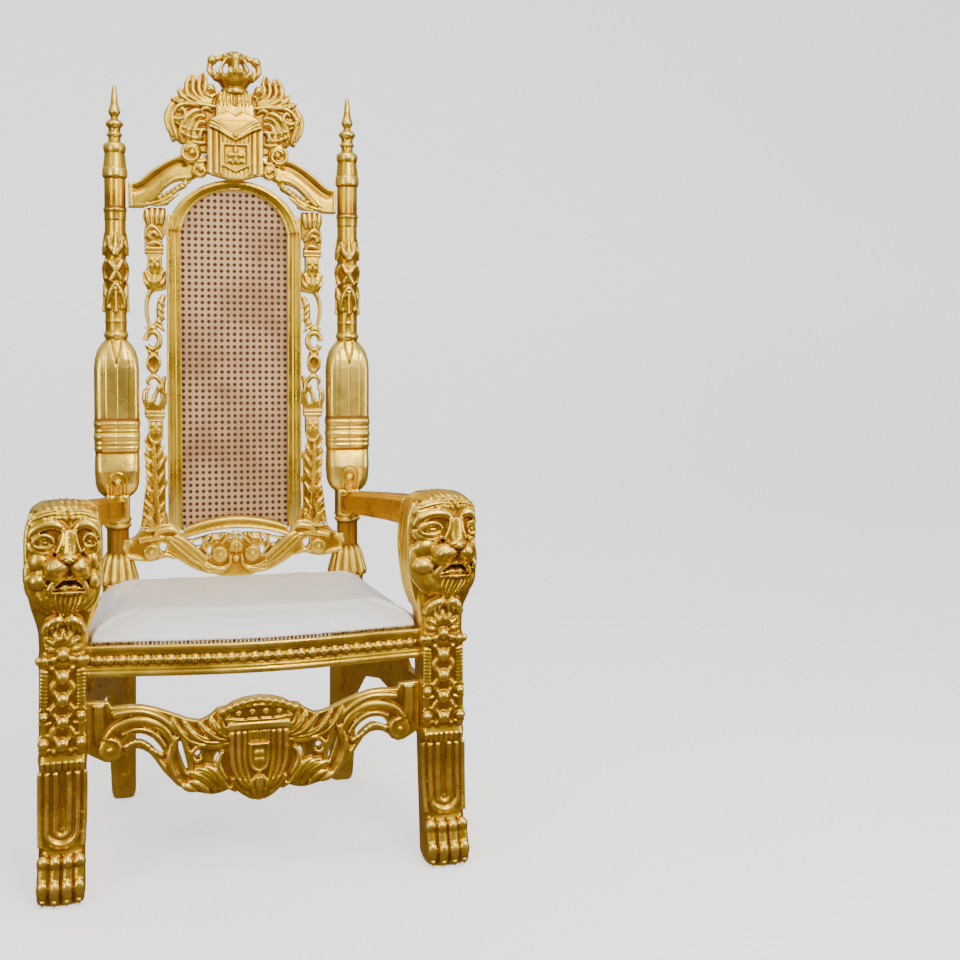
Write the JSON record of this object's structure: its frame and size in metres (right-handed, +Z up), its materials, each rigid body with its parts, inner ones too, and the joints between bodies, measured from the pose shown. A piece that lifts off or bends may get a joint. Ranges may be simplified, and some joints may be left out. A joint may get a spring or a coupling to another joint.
{
  "type": "throne",
  "caption": "Carved gilt wooden lion throne with turned back posts, a caned arched back under a crowned coat of arms, curved arms and a padded seat.",
  "frame": {"origin": "on the floor, under the middle of the throne's box", "axes": "+Z up, -Y the way the sitter faces, +X to the right as seen from the front"},
  "size_m": [0.932, 0.692, 1.825],
  "materials": {
    "gilt_wood": "gold leaf, burnished, dark in the recesses",
    "cane": "woven, satin",
    "vinyl": "satin",
    "brass_nail": "antique"
  },
  "bodies": {
    "root": {"front_leg_left": "gilt_wood", "front_leg_right": "gilt_wood", "rear_post_left": "gilt_wood", "rear_post_right": "gilt_wood", "arm_left": "gilt_wood", "arm_right": "gilt_wood", "crest_rail": "gilt_wood", "crest": "gilt_wood", "back_frame": "gilt_wood", "cane_panel": "cane", "side_carving_left": "gilt_wood", "side_carving_right": "gilt_wood", "back_apron": "gilt_wood", "seat_rail_front": "gilt_wood", "seat_rail_back": "gilt_wood", "seat_rail_left": "gilt_wood", "seat_rail_right": "gilt_wood", "seat_cushion": "vinyl", "front_stretcher": "gilt_wood", "side_apron_left": "gilt_wood", "side_apron_right": "gilt_wood"}
  },
  "joints": []
}
